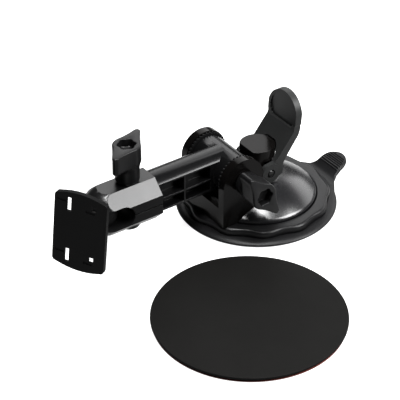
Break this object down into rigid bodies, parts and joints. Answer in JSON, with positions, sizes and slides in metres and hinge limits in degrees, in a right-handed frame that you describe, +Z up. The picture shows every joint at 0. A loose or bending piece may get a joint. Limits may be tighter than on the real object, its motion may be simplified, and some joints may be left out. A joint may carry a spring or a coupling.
{
  "type": "dash camera suction mount",
  "caption": "Lever suction mount for a dash camera: locking cup, fork, pivoting arm, ball clamp and slotted bracket plate, with a loose round dashboard disc.",
  "frame": {"origin": "centre of the suction pad's flat underside", "axes": "+Z up out of the glass, arm towards -Y, pivot knob towards +X"},
  "size_m": [0.1675, 0.1811, 0.0646],
  "materials": {
    "pad_rubber": "soft black rubber with a satin lip",
    "grip_rubber": "dark grey satin rubber",
    "gloss_shell": "polished black shell",
    "satin_body": "semi-gloss black moulding",
    "lever_body": "fine-grained dark grey moulding",
    "clamp_body": "fine-grained black moulding",
    "knob_body": "satin black moulding",
    "matte_body": "matte black moulding",
    "plate_body": "matte black moulding",
    "disc_body": "matte black sheet with a fine grain",
    "adhesive": "soft acrylic foam tape",
    "liner": "waxed reddish film",
    "steel": "zinc-plated steel"
  },
  "bodies": {
    "base": {"suction_pad": "pad_rubber", "base_dome": "gloss_shell", "grip_skirt": "grip_rubber", "fork_bracket": "satin_body", "stem_tower": "satin_body", "return_spring": "steel", "fork_screw_far": "steel", "fork_screw_near": "steel", "pivot_nut": "steel", "friction_ring_near": "matte_body", "friction_ring_far": "matte_body", "pivot_washer": "steel"},
    "stem": {"lift_stem": "satin_body", "pressure_plate": "matte_body", "lever_pin": "steel"},
    "lever": {"lock_lever": "lever_body"},
    "arm_body": {"arm": "satin_body", "lower_jaw": "clamp_body", "clamp_nut": "steel"},
    "upper_clamp": {"upper_jaw": "clamp_body", "clamp_washer": "steel"},
    "clamp_turn": {"clamp_knob": "knob_body", "clamp_bolt": "steel"},
    "pivot_turn": {"pivot_knob": "knob_body", "pivot_bolt": "steel"},
    "ball": {"pivot_ball": "matte_body"},
    "neck": {"ball_neck": "matte_body"},
    "bracket": {"plate_hub": "matte_body", "bracket_plate": "plate_body", "plate_screw_a": "steel", "plate_screw_b": "steel"},
    "disc": {"dash_disc": "disc_body", "adhesive_pad": "adhesive", "release_liner": "liner"}
  },
  "joints": [
    {"name": "arm_pitch", "type": "hinge", "parent": "base", "child": "arm_body", "pos_m": [0, -0.0222, 0.0313], "axis": [-1, 0, 0], "range_deg": [-9, 87]},
    {"name": "pivot_knob_turn", "type": "hinge", "parent": "base", "child": "pivot_turn", "pos_m": [0.025, -0.0222, 0.0313], "axis": [1, 0, 0], "range_deg": [0, 360]},
    {"name": "jaw_lift", "type": "slide", "parent": "arm_body", "child": "upper_clamp", "axis": [0, 0, 1], "range_m": [0, 0.001]},
    {"name": "clamp_knob_turn", "type": "hinge", "parent": "upper_clamp", "child": "clamp_turn", "pos_m": [0, -0.0792, 0.05], "axis": [0, 0, 1], "range_deg": [0, 360]},
    {"name": "ball_yaw", "type": "hinge", "parent": "arm_body", "child": "ball", "pos_m": [0, -0.0946, 0.0313], "axis": [0, 0, 1], "range_deg": [-120, 60]},
    {"name": "ball_tilt", "type": "hinge", "parent": "ball", "child": "neck", "pos_m": [0, -0.0946, 0.0313], "axis": [-0.866, -0.5, 0], "range_deg": [-14.5, 5]},
    {"name": "plate_roll", "type": "hinge", "parent": "neck", "child": "bracket", "pos_m": [0, -0.0946, 0.0313], "axis": [0.4983, -0.8631, 0.0819], "range_deg": [-90, 90]},
    {"name": "stem_lift", "type": "slide", "parent": "base", "child": "stem", "axis": [0, 0, 1], "range_m": [0, 0.003], "deforming": ["return_spring"]},
    {"name": "lever_swing", "type": "hinge", "parent": "stem", "child": "lever", "pos_m": [0, 0, 0.0236], "axis": [-1, 0, 0], "range_deg": [0, 60]},
    {"name": "disc_slide", "type": "slide", "parent": "base", "child": "disc", "axis": [1, 0, 0], "range_m": [0, 0.15]}
  ],
  "couplings": [
    {"joint": "clamp_knob_turn", "follows": "jaw_lift", "rad_per_m": 6282.5},
    {"joint": "stem_lift", "follows": "lever_swing", "m_per_rad": 0.0028645}
  ]
}
